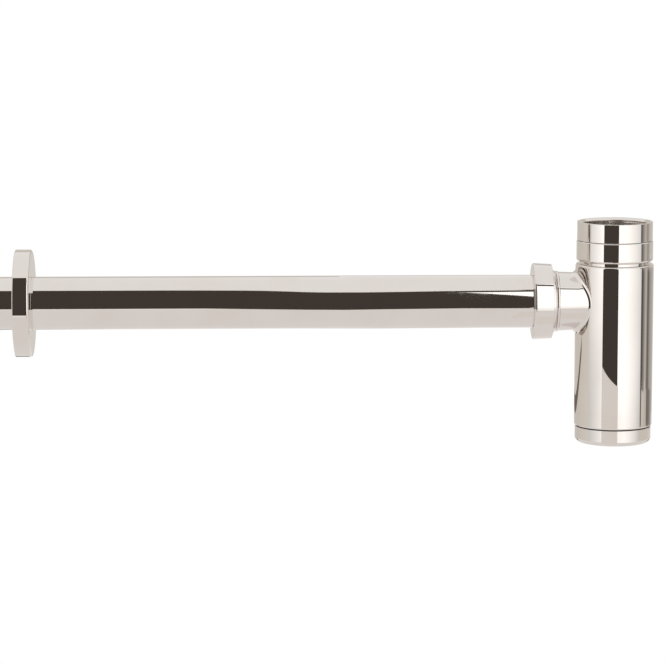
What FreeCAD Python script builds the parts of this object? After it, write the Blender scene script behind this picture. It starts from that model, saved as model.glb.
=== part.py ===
import FreeCAD, Part
import Sketcher
import os
import re

# Chromed bottle trap with its outlet pipe and wall flange.
# The origin is the middle of the inlet's sealing face, on the bottle's axis.
# +Z points up, out of the inlet, and the outlet pipe runs along -X.

# Driving dimensions, in millimetres
SIZES = {
    # inlet tube that dips into the water
    "tube_od": "32.0",
    "tube_wall": "1.0",
    "tube_flange_width": "3.1",
    "tube_flange_thickness": "1.6",
    "tube_mouth_round": "0.8",
    "tube_flow_gap": "7.9",
    # inlet nut and the washer under its thread
    "inlet_thread_length": "5.6",
    "inlet_thread_play": "0.375",
    "inlet_thread_relief": "0.9",
    "inlet_nut_wall": "3.225",
    "inlet_nut_lip": "2.0",
    "inlet_mouth_chamfer": "1.5",
    "inlet_washer_thickness": "2.0",
    "inlet_washer_inset": "0.5",
    "inlet_seam": "0.25",
    # compression set of the neck and of the boss: thread, nut lip, slip ring, tapered seal
    "neck_wall": "3.175",
    "boss_thread_wall": "3.175",
    "thread_depth": "1.425",
    "thread_clearance": "0.15",
    "nut_lip": "2.2",
    "slip_thickness": "1.4",
    "slip_play": "0.45",
    "seal_head": "1.2",
    "seal_head_inset": "0.275",
    "seal_tip_gap": "1.1",
    "seal_clearance": "0.1",
    "seat_land": "0.875",
    "seat_depth": "4.5",
    "seat_clearance": "0.05",
    "slide_clearance": "0.3",
    # ring nut on the neck
    "ring_nut_wall": "1.95",
    "ring_nut_round": "1.4",
    # bottle
    "water_gap": "5.0",
    "body_wall": "2.5",
    "body_height": "98.6",
    "body_roof": "3.0",
    "body_shoulder_round": "1.6",
    "body_base_round": "0.9",
    "neck_height": "9.0",
    "neck_collar": "2.5",
    "neck_gap": "1.5",
    # side boss
    "outlet_drop": "23.2",
    "boss_wall": "1.6",
    "boss_draft": "1.5",
    "boss_neck": "11.0",
    "boss_flare": "6.0",
    "boss_thread_length": "4.2",
    "boss_blend": "2.6",
    "pipe_stop_offset": "0.5",
    # outlet nut
    "outlet_nut_wall": "1.95",
    "outlet_nut_skirt": "2.3",
    # outlet pipe
    "pipe_od": "32.0",
    "pipe_wall": "1.0",
    "pipe_length": "400.0",
    "spigot_step": "0.2",
    "spigot_length": "40.0",
    "spigot_chamfer": "0.4",
    # wall flange and its grip ring
    "flange_setback": "63.4",
    "flange_od": "64.8",
    "flange_depth": "9.9",
    "flange_face": "2.6",
    "flange_rim": "1.8",
    "flange_round": "1.4",
    "flange_hub_wall": "4.2",
    "flange_hub_depth": "7.0",
    "grip_section": "2.3",
    "grip_groove_side": "0.15",
    "grip_groove_floor": "0.1",
    # cleaning cap and its washer
    "cap_inset": "0.5",
    "cap_height": "9.6",
    "cap_round": "2.6",
    "cap_floor": "2.6",
    "cap_spigot_length": "6.6",
    "cap_thread_depth": "0.92",
    "cap_thread_clearance": "0.1",
    "cap_cup_wall": "2.2",
    "cap_cup_round": "2.0",
    "cap_lip": "0.7",
    "cap_recess": "1.0",
    "cap_washer_thickness": "1.6",
    "cap_washer_play": "0.1",
    # light break of the sharp turned edges
    "edge_break": "0.4",
}

# Radii, lengths, levels on the bottle's axis and stations along the pipe that follow from the sizes
DERIVED = {
    "tube_radius": "tube_od / 2",
    "tube_bore_radius": "tube_radius - tube_wall",
    "tube_hole_radius": "tube_radius + slide_clearance",
    "tube_flange_radius": "tube_radius + tube_flange_width",
    "pipe_radius": "pipe_od / 2",
    "pipe_bore_radius": "pipe_radius - pipe_wall",
    "pipe_hole_radius": "pipe_radius + slide_clearance",
    "spigot_radius": "pipe_radius - spigot_step",
    "inlet_thread_radius": "tube_flange_radius + inlet_thread_play",
    "inlet_nut_radius": "inlet_thread_radius + inlet_nut_wall",
    "inlet_stack": "inlet_nut_lip + tube_flange_thickness + inlet_washer_thickness",
    "inlet_nut_height": "inlet_stack + inlet_thread_length",
    "seal_stack": "seal_head + slip_thickness + nut_lip",
    "seal_taper": "seat_depth - seal_tip_gap",
    "neck_thread_root": "tube_hole_radius + neck_wall",
    "neck_thread_crest": "neck_thread_root + thread_depth",
    "boss_thread_root": "pipe_hole_radius + boss_thread_wall",
    "boss_thread_crest": "boss_thread_root + thread_depth",
    "body_bore_radius": "tube_radius + water_gap",
    "body_radius": "body_bore_radius + body_wall",
    "boss_radius": "pipe_hole_radius + boss_wall",
    "boss_root_radius": "boss_radius - boss_draft",
    "boss_flare_start": "body_radius + boss_neck",
    "boss_flare_end": "boss_flare_start + boss_flare",
    "boss_end": "boss_flare_end + boss_thread_length",
    "ring_nut_height": "neck_height + seal_stack - neck_gap",
    "outlet_nut_start": "boss_flare_end - outlet_nut_skirt",
    "outlet_nut_length": "boss_end + seal_stack - outlet_nut_start",
    "pipe_stop": "body_radius + pipe_stop_offset",
    "flange_radius": "flange_od / 2",
    "flange_hub_radius": "pipe_hole_radius + flange_hub_wall",
    "flange_station": "pipe_stop + pipe_length - flange_setback - flange_depth",
    "grip_centre_radius": "pipe_radius + seal_clearance + grip_section / 2",
    "grip_groove_radius": "grip_centre_radius + grip_section / 2 + grip_groove_floor",
    "grip_groove_half": "grip_section / 2 + grip_groove_side",
    "cap_radius": "body_radius - cap_inset",
    "cap_thread_root": "body_bore_radius - cap_thread_clearance - cap_thread_depth",
    "cap_cup_radius": "cap_thread_root - cap_cup_wall",
    "cap_recess_radius": "cap_radius - cap_lip",
    "inlet_nut_base": "-inlet_stack",
    "ring_nut_base": "inlet_nut_base - inlet_seam - ring_nut_height",
    "body_top": "ring_nut_base - neck_gap",
    "neck_top": "body_top + neck_height",
    "body_base": "body_top - body_height",
    "outlet_level": "body_top - outlet_drop",
    "cap_shoulder": "body_base - cap_washer_thickness + cap_recess",
    "tube_end": "cap_shoulder + cap_spigot_length + tube_flow_gap",
    "tube_length": "-inlet_washer_thickness - tube_end",
}

ALONG_PIPE = FreeCAD.Rotation(FreeCAD.Vector(0, 1, 0), -90)
UPRIGHT = FreeCAD.Rotation()
SKETCH_ALONG_PIPE = FreeCAD.Rotation(FreeCAD.Vector(0, 0, 1), 90)
TOLERANCE = 1e-4

doc = FreeCAD.newDocument("BottleTrap")
sizes_sheet = doc.addObject("Spreadsheet::Sheet", "Sizes")
derived_sheet = doc.addObject("Spreadsheet::Sheet", "Derived")


def bound(text):
    """Put the sheet's name before each size in an expression."""

    def with_sheet(match):
        name = match.group(0)
        return f"Sizes.{name}" if name in SIZES else f"Derived.{name}"

    return re.sub(r"[a-z][a-z_]*", with_sheet, text)


def value(text):
    """Work out an expression, in millimetres."""
    return float(sizes_sheet.evalExpression(bound(text)))


def fill_sheets():
    """Write the driving dimensions as plain numbers and the derived ones as formulas."""
    for row, (name, number) in enumerate(SIZES.items(), 1):
        sizes_sheet.set(f"A{row}", name)
        sizes_sheet.set(f"B{row}", number)
        sizes_sheet.setAlias(f"B{row}", name)
    for row, (name, formula) in enumerate(DERIVED.items(), 1):
        derived_sheet.set(f"A{row}", name)
        derived_sheet.setAlias(f"B{row}", name)
        derived_sheet.set(f"B{row}", "=" + bound(formula).replace("Derived.", ""))
    doc.recompute()


def new_body(label, rotation=UPRIGHT, **place):
    """Start a piece whose place is bound to expressions for x and z."""
    body = doc.addObject("PartDesign::Body", label)
    body.Label = label
    body.Placement = FreeCAD.Placement(FreeCAD.Vector(), rotation)
    for axis, text in place.items():
        body.setExpression(f"Placement.Base.{axis}", bound(text))
    return body


def profile_sketch(body, name, outline, flare_to=None):
    """Draw a closed outline of (radius, height) corners right of the sketch's upright axis.

    The side that ends at corner number flare_to is an arc, which leaves the side before it tangentially.
    """
    sketch = body.newObject("Sketcher::SketchObject", name)
    planes = {plane.Role: plane for plane in body.Origin.OriginFeatures}
    sketch.AttachmentSupport = [(planes["XZ_Plane"], "")]
    sketch.MapMode = "FlatFace"
    corners = [FreeCAD.Vector(value(radius), value(height), 0) for radius, height in outline]
    count = len(outline)
    for index, start in enumerate(corners):
        end = corners[(index + 1) % count]
        if flare_to == index + 1:
            sketch.addGeometry(tangent_arc(corners[index - 1], start, end), False)
        else:
            sketch.addGeometry(Part.LineSegment(start, end), False)
    for index, (radius, height) in enumerate(outline):
        before = index - 1 if index else count - 1
        upright = index and radius == outline[before][0]
        level = index and height == outline[before][1]
        # an arc is stored anticlockwise, so its two ends lie the other way round
        leaving = 2 if flare_to == index + 1 else 1
        arriving = 1 if flare_to == index else 2
        joining = "Tangent" if flare_to == index + 1 else "Coincident"
        sketch.addConstraint(Sketcher.Constraint(joining, before, arriving, index, leaving))
        if upright:
            sketch.addConstraint(Sketcher.Constraint("Vertical", before))
        else:
            set_distance(sketch, "DistanceX", index, leaving, radius)
        if level:
            sketch.addConstraint(Sketcher.Constraint("Horizontal", before))
        else:
            set_distance(sketch, "DistanceY", index, leaving, height)
    return sketch


def set_distance(sketch, kind, side, end, text):
    """Hold one corner at a distance from the sketch's origin, bound to an expression."""
    number = sketch.addConstraint(Sketcher.Constraint(kind, -1, 1, side, end, value(text)))
    sketch.setExpression(f"Constraints[{number}]", bound(text))


def tangent_arc(before, start, end):
    """Arc that goes on from the side between before and start, and swings outwards to its end."""
    side = (start - before).normalize()
    outwards = FreeCAD.Vector(side.y, -side.x, 0)
    chord = end - start
    radius = chord.Length**2 / (2 * chord.dot(outwards))
    centre = start + outwards * radius
    half_turn = centre + ((start + end) / 2 - centre).normalize() * radius
    return Part.Arc(start, half_turn, end)


def turn(body, name, outline, kind="PartDesign::Revolution", flare_to=None):
    """Turn an outline of (radius, height) corners about the piece's own upright axis."""
    sketch = profile_sketch(body, f"{name}_profile", outline, flare_to)
    return revolve(body, name, sketch, kind)


def revolve(body, name, sketch, kind):
    """Add or cut the full turn of a sketch about its upright axis."""
    feature = body.newObject(kind, name)
    feature.Profile = sketch
    feature.ReferenceAxis = (sketch, ["V_Axis"])
    feature.Angle = 360
    doc.recompute()
    return feature


def turn_along_outlet(body, name, outline, kind, flare_to=None):
    """Turn an outline of (radius, station) corners about the outlet's axis in the bottle."""
    sketch = profile_sketch(body, f"{name}_profile", outline, flare_to)
    sketch.AttachmentOffset = FreeCAD.Placement(FreeCAD.Vector(), SKETCH_ALONG_PIPE)
    sketch.setExpression("AttachmentOffset.Base.y", bound("body_height - outlet_drop"))
    return revolve(body, name, sketch, kind)


def round_edge_names(shape, radius, height):
    """Names of the circular edges of one radius at one height on the piece's own axis."""
    names = []
    for number, edge in enumerate(shape.Edges, 1):
        curve = edge.Curve
        if not isinstance(curve, Part.Circle):
            continue
        centre = FreeCAD.Vector(0, 0, height)
        if abs(curve.Radius - radius) < TOLERANCE and (curve.Center - centre).Length < TOLERANCE:
            names.append(f"Edge{number}")
    return names


def ease_edge(body, kind, name, radius, height, size):
    """Round or chamfer the circular edge at a (radius, height) corner of the piece."""
    base = body.Tip
    edges = round_edge_names(base.Shape, value(radius), value(height))
    dress_up(body, kind, name, base, edges, size)


def dress_up(body, kind, name, base, edges, size):
    """Add a fillet or a chamfer of a bound size to named edges."""
    feature = body.newObject(kind, name)
    feature.Base = (base, edges)
    feature.setExpression("Radius" if kind.endswith("Fillet") else "Size", bound(size))
    doc.recompute()


def make_inlet_tube():
    """Straight tube that dips into the water, with the flange that the inlet nut pulls up."""
    body = new_body("inlet_tube", z="tube_end")
    turn(
        body,
        "inlet_tube_turned",
        [
            ("tube_bore_radius", "0"),
            ("tube_radius", "0"),
            ("tube_radius", "tube_length - tube_flange_thickness"),
            ("tube_flange_radius", "tube_length - tube_flange_thickness"),
            ("tube_flange_radius", "tube_length"),
            ("tube_bore_radius", "tube_length"),
        ],
    )
    ease_edge(
        body, "PartDesign::Fillet", "inlet_tube_mouth", "tube_bore_radius", "tube_length", "tube_mouth_round"
    )
    return body


def make_inlet_nut():
    """Free nut that takes the basin waste, held on the tube by its inward lip."""
    body = new_body("inlet_nut", z="inlet_nut_base")
    turn(
        body,
        "inlet_nut_turned",
        [
            ("tube_hole_radius", "0"),
            ("inlet_nut_radius", "0"),
            ("inlet_nut_radius", "inlet_nut_height"),
            ("inlet_thread_radius", "inlet_nut_height"),
            ("inlet_thread_radius", "inlet_stack"),
            ("inlet_thread_radius + inlet_thread_relief", "inlet_stack"),
            ("inlet_thread_radius + inlet_thread_relief", "inlet_nut_lip"),
            ("tube_hole_radius", "inlet_nut_lip"),
        ],
    )
    ease_edge(
        body,
        "PartDesign::Chamfer",
        "inlet_nut_mouth",
        "inlet_thread_radius",
        "inlet_nut_height",
        "inlet_mouth_chamfer",
    )
    for name, height in (("inlet_nut_rim", "inlet_nut_height"), ("inlet_nut_foot", "0")):
        ease_edge(body, "PartDesign::Chamfer", name, "inlet_nut_radius", height, "edge_break")
    return body


def make_flat_ring(label, inner, outer, thickness, rotation=UPRIGHT, **place):
    """Flat washer or slip ring."""
    body = new_body(label, rotation, **place)
    turn(
        body,
        f"{label}_turned",
        [(inner, "0"), (outer, "0"), (outer, thickness), (inner, thickness)],
    )
    return body


def make_taper_seal(label, shaft_radius, hole_radius, thread_root, rotation=UPRIGHT, **place):
    """Rubber ring whose taper lies in the conical seat and whose head lies on the threaded end."""
    mouth = f"{thread_root} - seat_land"
    tip = f"{mouth} - ({mouth} - {hole_radius}) * seal_taper / seat_depth - seat_clearance"
    body = new_body(label, rotation, **place)
    turn(
        body,
        f"{label}_turned",
        [
            (f"{shaft_radius} + seal_clearance", "0"),
            (tip, "0"),
            (f"{mouth} - seat_clearance", "seal_taper"),
            (f"{thread_root} - seal_head_inset", "seal_taper"),
            (f"{thread_root} - seal_head_inset", "seal_taper + seal_head"),
            (f"{shaft_radius} + seal_clearance", "seal_taper + seal_head"),
        ],
    )
    return body


def make_compression_nut(label, hole_radius, thread_crest, wall, length, rotation=UPRIGHT, **place):
    """Round nut that presses the slip ring and the seal with its inward lip."""
    bore = f"{thread_crest} + thread_clearance"
    outside = f"{bore} + {wall}"
    body = new_body(label, rotation, **place)
    turn(
        body,
        f"{label}_turned",
        [
            (bore, "0"),
            (outside, "0"),
            (outside, length),
            (hole_radius, length),
            (hole_radius, f"{length} - nut_lip"),
            (bore, f"{length} - nut_lip"),
        ],
    )
    ease_edge(body, "PartDesign::Chamfer", f"{label}_rim", outside, length, "edge_break")
    return body


def make_ring_nut():
    """Nut on the neck, with the rounded lower edge that shades the gap above the bottle."""
    body = make_compression_nut(
        "ring_nut", "tube_hole_radius", "neck_thread_crest", "ring_nut_wall", "ring_nut_height", z="ring_nut_base"
    )
    outside = "neck_thread_crest + thread_clearance + ring_nut_wall"
    ease_edge(body, "PartDesign::Fillet", "ring_nut_foot", outside, "0", "ring_nut_round")
    return body


def make_outlet_nut():
    """Nut on the side boss, round the outlet pipe."""
    body = make_compression_nut(
        "outlet_nut",
        "pipe_hole_radius",
        "boss_thread_crest",
        "outlet_nut_wall",
        "outlet_nut_length",
        ALONG_PIPE,
        x="-outlet_nut_start",
        z="outlet_level",
    )
    outside = "boss_thread_crest + thread_clearance + outlet_nut_wall"
    ease_edge(body, "PartDesign::Chamfer", "outlet_nut_foot", outside, "0", "edge_break")
    return body


def boss_corner_names(shape):
    """Names of the edges where the tapered boss meets the round bottle."""
    level = value("body_height - outlet_drop")
    root = value("boss_root_radius")
    slope = value("boss_draft / boss_flare_start")
    names = []
    for number, edge in enumerate(shape.Edges, 1):
        points = edge.discretize(5)
        on_bottle = all(abs(point.x**2 + point.y**2 - value("body_radius") ** 2) < TOLERANCE for point in points)
        on_boss = all(
            abs((point.y**2 + (point.z - level) ** 2) ** 0.5 - root + slope * point.x) < TOLERANCE for point in points
        )
        if on_bottle and on_boss:
            names.append(f"Edge{number}")
    return names


def make_trap_body():
    """Cast bottle with its threaded neck, the flared side boss and the bores of both."""
    body = new_body("trap_body", z="body_base")
    turn(
        body,
        "bottle_outside",
        [
            ("0", "0"),
            ("body_radius", "0"),
            ("body_radius", "body_height"),
            ("neck_thread_crest", "body_height"),
            ("neck_thread_crest", "body_height + neck_collar"),
            ("neck_thread_root", "body_height + neck_collar"),
            ("neck_thread_root", "body_height + neck_height"),
            ("0", "body_height + neck_height"),
        ],
    )
    ease_edge(body, "PartDesign::Fillet", "bottle_shoulder", "body_radius", "body_height", "body_shoulder_round")
    ease_edge(body, "PartDesign::Fillet", "bottle_base", "body_radius", "0", "body_base_round")
    boss = turn_along_outlet(
        body,
        "boss_outside",
        [
            ("0", "0"),
            ("boss_root_radius", "0"),
            ("boss_radius", "boss_flare_start"),
            ("boss_thread_root", "boss_flare_end"),
            ("boss_thread_root", "boss_end"),
            ("0", "boss_end"),
        ],
        "PartDesign::Revolution",
        flare_to=3,
    )
    dress_up(body, "PartDesign::Fillet", "boss_corner", boss, boss_corner_names(boss.Shape), "boss_blend")
    turn(
        body,
        "bottle_bore",
        [
            ("0", "0"),
            ("body_bore_radius", "0"),
            ("body_bore_radius", "body_height - body_roof"),
            ("tube_hole_radius", "body_height - body_roof"),
            ("tube_hole_radius", "body_height + neck_height - seat_depth"),
            ("neck_thread_root - seat_land", "body_height + neck_height"),
            ("0", "body_height + neck_height"),
        ],
        "PartDesign::Groove",
    )
    turn_along_outlet(
        body,
        "boss_bore",
        [
            ("0", "0"),
            ("pipe_bore_radius", "0"),
            ("pipe_bore_radius", "pipe_stop"),
            ("pipe_hole_radius", "pipe_stop"),
            ("pipe_hole_radius", "boss_end - seat_depth"),
            ("boss_thread_root - seat_land", "boss_end"),
            ("0", "boss_end"),
        ],
        "PartDesign::Groove",
    )
    return body


def make_outlet_pipe():
    """Straight pipe, with its far end sized down a little for the coupling in the wall."""
    body = new_body("outlet_pipe", ALONG_PIPE, x="-pipe_stop", z="outlet_level")
    turn(
        body,
        "outlet_pipe_turned",
        [
            ("pipe_bore_radius", "0"),
            ("pipe_radius", "0"),
            ("pipe_radius", "pipe_length - spigot_length"),
            ("spigot_radius", "pipe_length - spigot_length"),
            ("spigot_radius", "pipe_length"),
            ("pipe_bore_radius", "pipe_length"),
        ],
    )
    ease_edge(body, "PartDesign::Chamfer", "outlet_pipe_end", "spigot_radius", "pipe_length", "spigot_chamfer")
    return body


def make_wall_flange():
    """Deep cover for the hole in the wall, open at the back, with a groove for its grip ring."""
    groove_near = "flange_hub_depth / 2 - grip_groove_half"
    groove_far = "flange_hub_depth / 2 + grip_groove_half"
    body = new_body("wall_flange", ALONG_PIPE, x="-flange_station", z="outlet_level")
    turn(
        body,
        "wall_flange_turned",
        [
            ("pipe_hole_radius", "0"),
            ("flange_radius", "0"),
            ("flange_radius", "flange_depth"),
            ("flange_radius - flange_rim", "flange_depth"),
            ("flange_radius - flange_rim", "flange_face"),
            ("flange_hub_radius", "flange_face"),
            ("flange_hub_radius", "flange_hub_depth"),
            ("pipe_hole_radius", "flange_hub_depth"),
            ("pipe_hole_radius", groove_far),
            ("grip_groove_radius", groove_far),
            ("grip_groove_radius", groove_near),
            ("pipe_hole_radius", groove_near),
        ],
    )
    ease_edge(body, "PartDesign::Fillet", "wall_flange_rim", "flange_radius", "0", "flange_round")
    return body


def make_grip_ring():
    """Rubber ring that holds the wall flange where it is slid to."""
    ring = doc.addObject("Part::Torus", "flange_grip_ring")
    ring.Label = "flange_grip_ring"
    ring.Placement = FreeCAD.Placement(FreeCAD.Vector(), ALONG_PIPE)
    ring.setExpression("Placement.Base.x", bound("-flange_station - flange_hub_depth / 2"))
    ring.setExpression("Placement.Base.z", bound("outlet_level"))
    ring.setExpression("Radius1", bound("grip_centre_radius"))
    ring.setExpression("Radius2", bound("grip_section / 2"))
    return ring


def make_bottom_cap():
    """Cleaning cap that screws up into the bottle, hollow so that it catches the sediment."""
    body = new_body("bottom_cap", z="cap_shoulder - cap_height")
    spigot_top = "cap_height + cap_spigot_length"
    turn(
        body,
        "bottom_cap_turned",
        [
            ("0", "0"),
            ("cap_radius", "0"),
            ("cap_radius", "cap_height"),
            ("cap_recess_radius", "cap_height"),
            ("cap_recess_radius", "cap_height - cap_recess"),
            ("cap_thread_root", "cap_height - cap_recess"),
            ("cap_thread_root", spigot_top),
            ("cap_cup_radius", spigot_top),
            ("cap_cup_radius", "cap_floor"),
            ("0", "cap_floor"),
        ],
    )
    ease_edge(body, "PartDesign::Fillet", "bottom_cap_foot", "cap_radius", "0", "cap_round")
    ease_edge(body, "PartDesign::Fillet", "bottom_cap_cup", "cap_cup_radius", "cap_floor", "cap_cup_round")
    return body


def make_pieces():
    """Every separate piece, from the inlet down and out along the pipe."""
    return [
        make_inlet_nut(),
        make_flat_ring(
            "inlet_washer",
            "tube_bore_radius + inlet_washer_inset",
            "tube_flange_radius",
            "inlet_washer_thickness",
            z="-inlet_washer_thickness",
        ),
        make_inlet_tube(),
        make_ring_nut(),
        make_flat_ring(
            "neck_slip_ring",
            "tube_hole_radius",
            "neck_thread_crest + thread_clearance - slip_play",
            "slip_thickness",
            z="neck_top + seal_head",
        ),
        make_taper_seal(
            "neck_seal", "tube_radius", "tube_hole_radius", "neck_thread_root", z="neck_top - seal_taper"
        ),
        make_trap_body(),
        make_outlet_nut(),
        make_flat_ring(
            "outlet_slip_ring",
            "pipe_hole_radius",
            "boss_thread_crest + thread_clearance - slip_play",
            "slip_thickness",
            ALONG_PIPE,
            x="-boss_end - seal_head",
            z="outlet_level",
        ),
        make_taper_seal(
            "outlet_seal",
            "pipe_radius",
            "pipe_hole_radius",
            "boss_thread_root",
            ALONG_PIPE,
            x="-boss_end + seal_taper",
            z="outlet_level",
        ),
        make_outlet_pipe(),
        make_wall_flange(),
        make_grip_ring(),
        make_bottom_cap(),
        make_flat_ring(
            "cap_washer",
            "cap_thread_root + cap_washer_play",
            "cap_recess_radius - cap_washer_play",
            "cap_washer_thickness",
            z="cap_shoulder - cap_recess",
        ),
    ]


def check(pieces):
    """Stop if any object failed to build or any piece isn't one sound solid."""
    for item in doc.Objects:
        if "Invalid" in item.State or "Error" in item.State:
            raise RuntimeError(f"{item.Label} failed: {item.State}")
    for piece in pieces:
        shape = piece.Shape
        if shape.isNull() or not shape.isValid() or len(shape.Solids) != 1:
            raise RuntimeError(f"{piece.Label} isn't one sound solid")


fill_sheets()
pieces = make_pieces()
doc.recompute()
check(pieces)
os.makedirs("parts", exist_ok=True)
for piece in pieces:
    piece.Shape.exportStep(f"parts/{piece.Label}.step")
    print(f"{piece.Label}: {piece.Shape.Volume:.0f} mm3")
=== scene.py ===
"""Chrome bottle trap: finishes, turned pieces, screw threads, studio and camera round the CAD frame."""
import logging
import math
from dataclasses import dataclass
from enum import Enum
from typing import Any, ClassVar, Optional, Union

import bpy
from mathutils import Matrix, Vector


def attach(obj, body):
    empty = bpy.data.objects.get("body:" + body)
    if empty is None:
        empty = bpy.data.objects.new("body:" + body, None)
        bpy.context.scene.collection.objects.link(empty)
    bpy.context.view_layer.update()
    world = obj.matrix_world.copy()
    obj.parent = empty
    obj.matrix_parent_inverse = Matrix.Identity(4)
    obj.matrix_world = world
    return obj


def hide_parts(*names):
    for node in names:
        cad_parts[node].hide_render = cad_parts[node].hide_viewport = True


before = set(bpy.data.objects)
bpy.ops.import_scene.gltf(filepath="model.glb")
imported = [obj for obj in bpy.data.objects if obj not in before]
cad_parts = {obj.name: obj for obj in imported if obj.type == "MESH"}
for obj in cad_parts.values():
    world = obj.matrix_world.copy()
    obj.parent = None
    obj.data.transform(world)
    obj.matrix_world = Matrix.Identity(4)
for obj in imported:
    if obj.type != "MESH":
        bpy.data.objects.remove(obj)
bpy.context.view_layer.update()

LOG = logging.getLogger("bottle_trap")
MM = 0.001
# The height of the outlet's axis, in mm.
OUTLET_Z = -42.85
# An unpolished inside reaches this far past its bore, in mm.
INSIDE_MARGIN = 0.05
# By this share of a pitch a thread is shifted from the one that it turns on.
HALF_PITCH = 0.5
# Corners this near to each other are merged, and corners this near to a cut lie on it, in metres.
MERGE_DISTANCE = 1e-7
CUT_DISTANCE = 1e-8
# A Mix node's sockets for colours, by number, because their names repeat.
MIX_FACTOR, MIX_FIRST, MIX_SECOND, MIX_RESULT = 0, 6, 7, 2
Number = Union[int, float]
Colour = tuple[float, float, float]
Point = tuple[float, float]
WHITE: Colour = (1.0, 1.0, 1.0)


class Slot(Enum):
    """The record's material slots."""

    CHROME = "chrome"
    RUBBER = "rubber"
    NYLON = "nylon"


class Axis(Enum):
    """The two turning axes of the trap."""

    BOTTLE = "upright, through the bottle"
    OUTLET = "level, along the outlet pipe"


def opaque(colour: Colour) -> tuple[float, float, float, float]:
    """Returns a colour with full alpha."""
    return (*colour, 1.0)


class Value:
    """A number that changes over a surface: one shader socket with Python's arithmetic."""

    def __init__(self, graph: "Graph", socket: bpy.types.NodeSocket) -> None:
        """Wraps one output socket of a graph's node."""
        self.graph = graph
        self.socket = socket

    def __add__(self, other: "Term") -> "Value":
        """Returns the sum."""
        return self.graph.math("ADD", self, other)

    __radd__ = __add__

    def __sub__(self, other: "Term") -> "Value":
        """Returns the difference."""
        return self.graph.math("SUBTRACT", self, other)

    def __rsub__(self, other: "Term") -> "Value":
        """Returns the difference the other way round."""
        return self.graph.math("SUBTRACT", other, self)

    def __mul__(self, other: "Term") -> "Value":
        """Returns the product."""
        return self.graph.math("MULTIPLY", self, other)

    __rmul__ = __mul__

    def __pow__(self, other: "Term") -> "Value":
        """Returns the power."""
        return self.graph.math("POWER", self, other)

    def __lt__(self, other: "Term") -> "Value":
        """Returns 1 where this is the smaller and 0 elsewhere."""
        return self.graph.math("LESS_THAN", self, other)


Term = Union[Value, Number]


class Graph:
    """A node tree that is written as expressions."""

    def __init__(self, tree: bpy.types.NodeTree) -> None:
        """Empties the tree and starts to fill it."""
        self.tree = tree
        tree.nodes.clear()

    def node(self, kind: str, settings: Optional[dict[str, Any]] = None,
             sockets: Optional[dict[Union[str, int], Any]] = None) -> bpy.types.Node:
        """Adds one node.

        Args:
            kind: the node's type.
            settings: its own settings, which are set first.
            sockets: values, sockets or Values for its inputs, by name or number.

        Returns:
            The new node.
        """
        made = self.tree.nodes.new(kind)
        for name, setting in (settings or {}).items():
            setattr(made, name, setting)
        for name, given in (sockets or {}).items():
            into = made.inputs[name]
            if isinstance(given, Value):
                given = given.socket
            if isinstance(given, bpy.types.NodeSocket):
                self.tree.links.new(given, into)
            else:
                into.default_value = given
        return made

    def math(self, operation: str, *terms: Term) -> Value:
        """Adds a Math node and returns what it gives."""
        made = self.node("ShaderNodeMath", {"operation": operation}, dict(enumerate(terms)))
        return Value(self, made.outputs[0])

    def mix(self, factor: Term, first: Any, second: Any) -> bpy.types.NodeSocket:
        """Returns the colour that goes from first to second with factor."""
        made = self.node("ShaderNodeMix", {"data_type": "RGBA"},
                         {MIX_FACTOR: factor, MIX_FIRST: first, MIX_SECOND: second})
        return made.outputs[MIX_RESULT]

    def step(self, value: Value, low: float, high: float) -> Value:
        """Returns 0 below low and 1 above high, smooth between them."""
        made = self.node("ShaderNodeMapRange", {"interpolation_type": "SMOOTHSTEP"},
                         {"Value": value, "From Min": low, "From Max": high})
        return Value(self, made.outputs["Result"])

    def bump(self, height: Value, depth: float, strength: float) -> bpy.types.NodeSocket:
        """Returns the normal of a surface that is uneven by a depth in mm."""
        made = self.node("ShaderNodeBump", sockets={
            "Strength": strength, "Distance": depth * MM, "Height": height})
        return made.outputs[0]

    def show(self, shader: bpy.types.Node) -> None:
        """Makes a shader node the surface of the tree's material."""
        self.node("ShaderNodeOutputMaterial", sockets={"Surface": shader.outputs[0]})


def new_material(name: str) -> tuple[bpy.types.Material, Graph]:
    """Adds a material.

    Args:
        name: its name.

    Returns:
        The material and its empty graph.
    """
    made = bpy.data.materials.new(name)
    made.use_nodes = True
    return made, Graph(made.node_tree)


class Pattern:
    """What finishes read: a piece's own coordinates, and noise on them."""

    NOISE_ROUGHNESS = 0.55

    def __init__(self, graph: Graph) -> None:
        """Adds the coordinates to a graph."""
        self.graph = graph
        self.place = graph.node("ShaderNodeTexCoord").outputs["Object"]
        parts = graph.node("ShaderNodeSeparateXYZ", sockets={"Vector": self.place})
        self.x, self.y, self.z = (Value(graph, s) for s in parts.outputs)

    def noise(self, scale: float, detail: float) -> Value:
        """Returns noise with features of about 1/scale metres."""
        made = self.graph.node("ShaderNodeTexNoise", {"noise_dimensions": "3D"}, {
            "Vector": self.place, "Scale": scale, "Detail": detail, "Roughness": self.NOISE_ROUGHNESS})
        return Value(self.graph, made.outputs[0])

    def radius(self, axis: Axis) -> Value:
        """Measures how far the surface is from an axis.

        Args:
            axis: the bottle's or the outlet's.

        Returns:
            The distance in metres.
        """
        if axis is Axis.BOTTLE:
            return (self.x * self.x + self.y * self.y) ** 0.5
        up = self.z - OUTLET_Z * MM
        return (self.y * self.y + up * up) ** 0.5


@dataclass(frozen=True)
class Patches:
    """Soft patches of noise.

    Fields: scale, about how many there are to a metre; detail, the noise's; low and high, the noise's levels
    between which a patch fades in.
    """

    scale: float
    detail: float
    low: float
    high: float

    def mask(self, pattern: Pattern) -> Value:
        """Returns 1 in the patches and 0 between them."""
        return pattern.graph.step(pattern.noise(self.scale, self.detail), self.low, self.high)


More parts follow.
